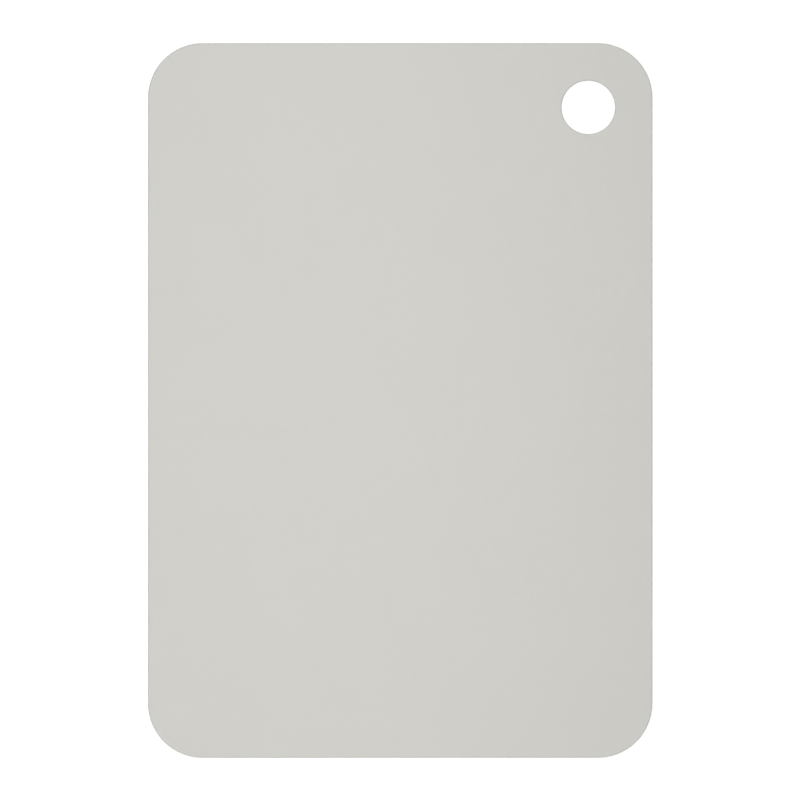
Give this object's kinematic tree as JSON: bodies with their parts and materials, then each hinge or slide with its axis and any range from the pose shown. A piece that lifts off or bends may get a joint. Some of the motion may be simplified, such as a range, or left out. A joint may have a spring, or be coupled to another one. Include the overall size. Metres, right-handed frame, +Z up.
{
  "type": "flexible cutting mat",
  "caption": "Thin rectangular plastic cutting sheet with large rounded corners and a round hole for hanging near a corner; its long sides lift, so that it curls into a channel.",
  "frame": {"origin": "under the middle of the sheet, on the surface that it lies on", "axes": "+X along the short side towards the side with the hole, +Y along the long side towards the hole, +Z up through the thickness"},
  "size_m": [0.24, 0.34, 0.0015],
  "materials": {
    "sheet": "matte"
  },
  "bodies": {
    "centre_strip": {"centre_strip": "sheet"},
    "right_strip_1": {"right_strip_1": "sheet"},
    "right_strip_2": {"right_strip_2": "sheet"},
    "right_strip_3": {"right_strip_3": "sheet"},
    "right_strip_4": {"right_strip_4": "sheet"},
    "right_strip_5": {"right_strip_5": "sheet"},
    "right_strip_6": {"right_strip_6": "sheet"},
    "right_strip_7": {"right_strip_7": "sheet"},
    "right_strip_8": {"right_strip_8": "sheet"},
    "right_strip_9": {"right_strip_9": "sheet"},
    "right_edge_panel": {"right_edge_panel": "sheet"},
    "left_strip_1": {"left_strip_1": "sheet"},
    "left_strip_2": {"left_strip_2": "sheet"},
    "left_strip_3": {"left_strip_3": "sheet"},
    "left_strip_4": {"left_strip_4": "sheet"},
    "left_strip_5": {"left_strip_5": "sheet"},
    "left_strip_6": {"left_strip_6": "sheet"},
    "left_strip_7": {"left_strip_7": "sheet"},
    "left_strip_8": {"left_strip_8": "sheet"},
    "left_strip_9": {"left_strip_9": "sheet"},
    "left_edge_panel": {"left_edge_panel": "sheet"}
  },
  "joints": [
    {"name": "right_bend_1", "type": "hinge", "parent": "centre_strip", "child": "right_strip_1", "pos_m": [0.00341, 0, 0.0015], "axis": [0, -1, 0], "range_deg": [0, 8.5], "stiffness_Nm_per_rad": 2.8},
    {"name": "right_bend_2", "type": "hinge", "parent": "right_strip_1", "child": "right_strip_2", "pos_m": [0.01022, 0, 0.0015], "axis": [0, -1, 0], "range_deg": [0, 8.5], "stiffness_Nm_per_rad": 2.8},
    {"name": "right_bend_3", "type": "hinge", "parent": "right_strip_2", "child": "right_strip_3", "pos_m": [0.01704, 0, 0.0015], "axis": [0, -1, 0], "range_deg": [0, 8.5], "stiffness_Nm_per_rad": 2.8},
    {"name": "right_bend_4", "type": "hinge", "parent": "right_strip_3", "child": "right_strip_4", "pos_m": [0.02386, 0, 0.0015], "axis": [0, -1, 0], "range_deg": [0, 8.5], "stiffness_Nm_per_rad": 2.8},
    {"name": "right_bend_5", "type": "hinge", "parent": "right_strip_4", "child": "right_strip_5", "pos_m": [0.03067, 0, 0.0015], "axis": [0, -1, 0], "range_deg": [0, 8.5], "stiffness_Nm_per_rad": 2.8},
    {"name": "right_bend_6", "type": "hinge", "parent": "right_strip_5", "child": "right_strip_6", "pos_m": [0.03749, 0, 0.0015], "axis": [0, -1, 0], "range_deg": [0, 8.5], "stiffness_Nm_per_rad": 2.8},
    {"name": "right_bend_7", "type": "hinge", "parent": "right_strip_6", "child": "right_strip_7", "pos_m": [0.0443, 0, 0.0015], "axis": [0, -1, 0], "range_deg": [0, 8.5], "stiffness_Nm_per_rad": 2.8},
    {"name": "right_bend_8", "type": "hinge", "parent": "right_strip_7", "child": "right_strip_8", "pos_m": [0.05112, 0, 0.0015], "axis": [0, -1, 0], "range_deg": [0, 8.5], "stiffness_Nm_per_rad": 2.8},
    {"name": "right_bend_9", "type": "hinge", "parent": "right_strip_8", "child": "right_strip_9", "pos_m": [0.05793, 0, 0.0015], "axis": [0, -1, 0], "range_deg": [0, 8.5], "stiffness_Nm_per_rad": 2.8},
    {"name": "right_bend_10", "type": "hinge", "parent": "right_strip_9", "child": "right_edge_panel", "pos_m": [0.06475, 0, 0.0015], "axis": [0, -1, 0], "range_deg": [0, 8.5], "stiffness_Nm_per_rad": 2.8},
    {"name": "left_bend_1", "type": "hinge", "parent": "centre_strip", "child": "left_strip_1", "pos_m": [-0.00341, 0, 0.0015], "axis": [0, 1, 0], "range_deg": [0, 8.5], "stiffness_Nm_per_rad": 2.8},
    {"name": "left_bend_2", "type": "hinge", "parent": "left_strip_1", "child": "left_strip_2", "pos_m": [-0.01022, 0, 0.0015], "axis": [0, 1, 0], "range_deg": [0, 8.5], "stiffness_Nm_per_rad": 2.8},
    {"name": "left_bend_3", "type": "hinge", "parent": "left_strip_2", "child": "left_strip_3", "pos_m": [-0.01704, 0, 0.0015], "axis": [0, 1, 0], "range_deg": [0, 8.5], "stiffness_Nm_per_rad": 2.8},
    {"name": "left_bend_4", "type": "hinge", "parent": "left_strip_3", "child": "left_strip_4", "pos_m": [-0.02386, 0, 0.0015], "axis": [0, 1, 0], "range_deg": [0, 8.5], "stiffness_Nm_per_rad": 2.8},
    {"name": "left_bend_5", "type": "hinge", "parent": "left_strip_4", "child": "left_strip_5", "pos_m": [-0.03067, 0, 0.0015], "axis": [0, 1, 0], "range_deg": [0, 8.5], "stiffness_Nm_per_rad": 2.8},
    {"name": "left_bend_6", "type": "hinge", "parent": "left_strip_5", "child": "left_strip_6", "pos_m": [-0.03749, 0, 0.0015], "axis": [0, 1, 0], "range_deg": [0, 8.5], "stiffness_Nm_per_rad": 2.8},
    {"name": "left_bend_7", "type": "hinge", "parent": "left_strip_6", "child": "left_strip_7", "pos_m": [-0.0443, 0, 0.0015], "axis": [0, 1, 0], "range_deg": [0, 8.5], "stiffness_Nm_per_rad": 2.8},
    {"name": "left_bend_8", "type": "hinge", "parent": "left_strip_7", "child": "left_strip_8", "pos_m": [-0.05112, 0, 0.0015], "axis": [0, 1, 0], "range_deg": [0, 8.5], "stiffness_Nm_per_rad": 2.8},
    {"name": "left_bend_9", "type": "hinge", "parent": "left_strip_8", "child": "left_strip_9", "pos_m": [-0.05793, 0, 0.0015], "axis": [0, 1, 0], "range_deg": [0, 8.5], "stiffness_Nm_per_rad": 2.8},
    {"name": "left_bend_10", "type": "hinge", "parent": "left_strip_9", "child": "left_edge_panel", "pos_m": [-0.06475, 0, 0.0015], "axis": [0, 1, 0], "range_deg": [0, 8.5], "stiffness_Nm_per_rad": 2.8}
  ],
  "couplings": [
    {"joint": "right_bend_2", "follows": "right_bend_1", "ratio": 1},
    {"joint": "right_bend_3", "follows": "right_bend_1", "ratio": 1},
    {"joint": "right_bend_4", "follows": "right_bend_1", "ratio": 1},
    {"joint": "right_bend_5", "follows": "right_bend_1", "ratio": 1},
    {"joint": "right_bend_6", "follows": "right_bend_1", "ratio": 1},
    {"joint": "right_bend_7", "follows": "right_bend_1", "ratio": 1},
    {"joint": "right_bend_8", "follows": "right_bend_1", "ratio": 1},
    {"joint": "right_bend_9", "follows": "right_bend_1", "ratio": 1},
    {"joint": "right_bend_10", "follows": "right_bend_1", "ratio": 1},
    {"joint": "left_bend_2", "follows": "left_bend_1", "ratio": 1},
    {"joint": "left_bend_3", "follows": "left_bend_1", "ratio": 1},
    {"joint": "left_bend_4", "follows": "left_bend_1", "ratio": 1},
    {"joint": "left_bend_5", "follows": "left_bend_1", "ratio": 1},
    {"joint": "left_bend_6", "follows": "left_bend_1", "ratio": 1},
    {"joint": "left_bend_7", "follows": "left_bend_1", "ratio": 1},
    {"joint": "left_bend_8", "follows": "left_bend_1", "ratio": 1},
    {"joint": "left_bend_9", "follows": "left_bend_1", "ratio": 1},
    {"joint": "left_bend_10", "follows": "left_bend_1", "ratio": 1}
  ]
}
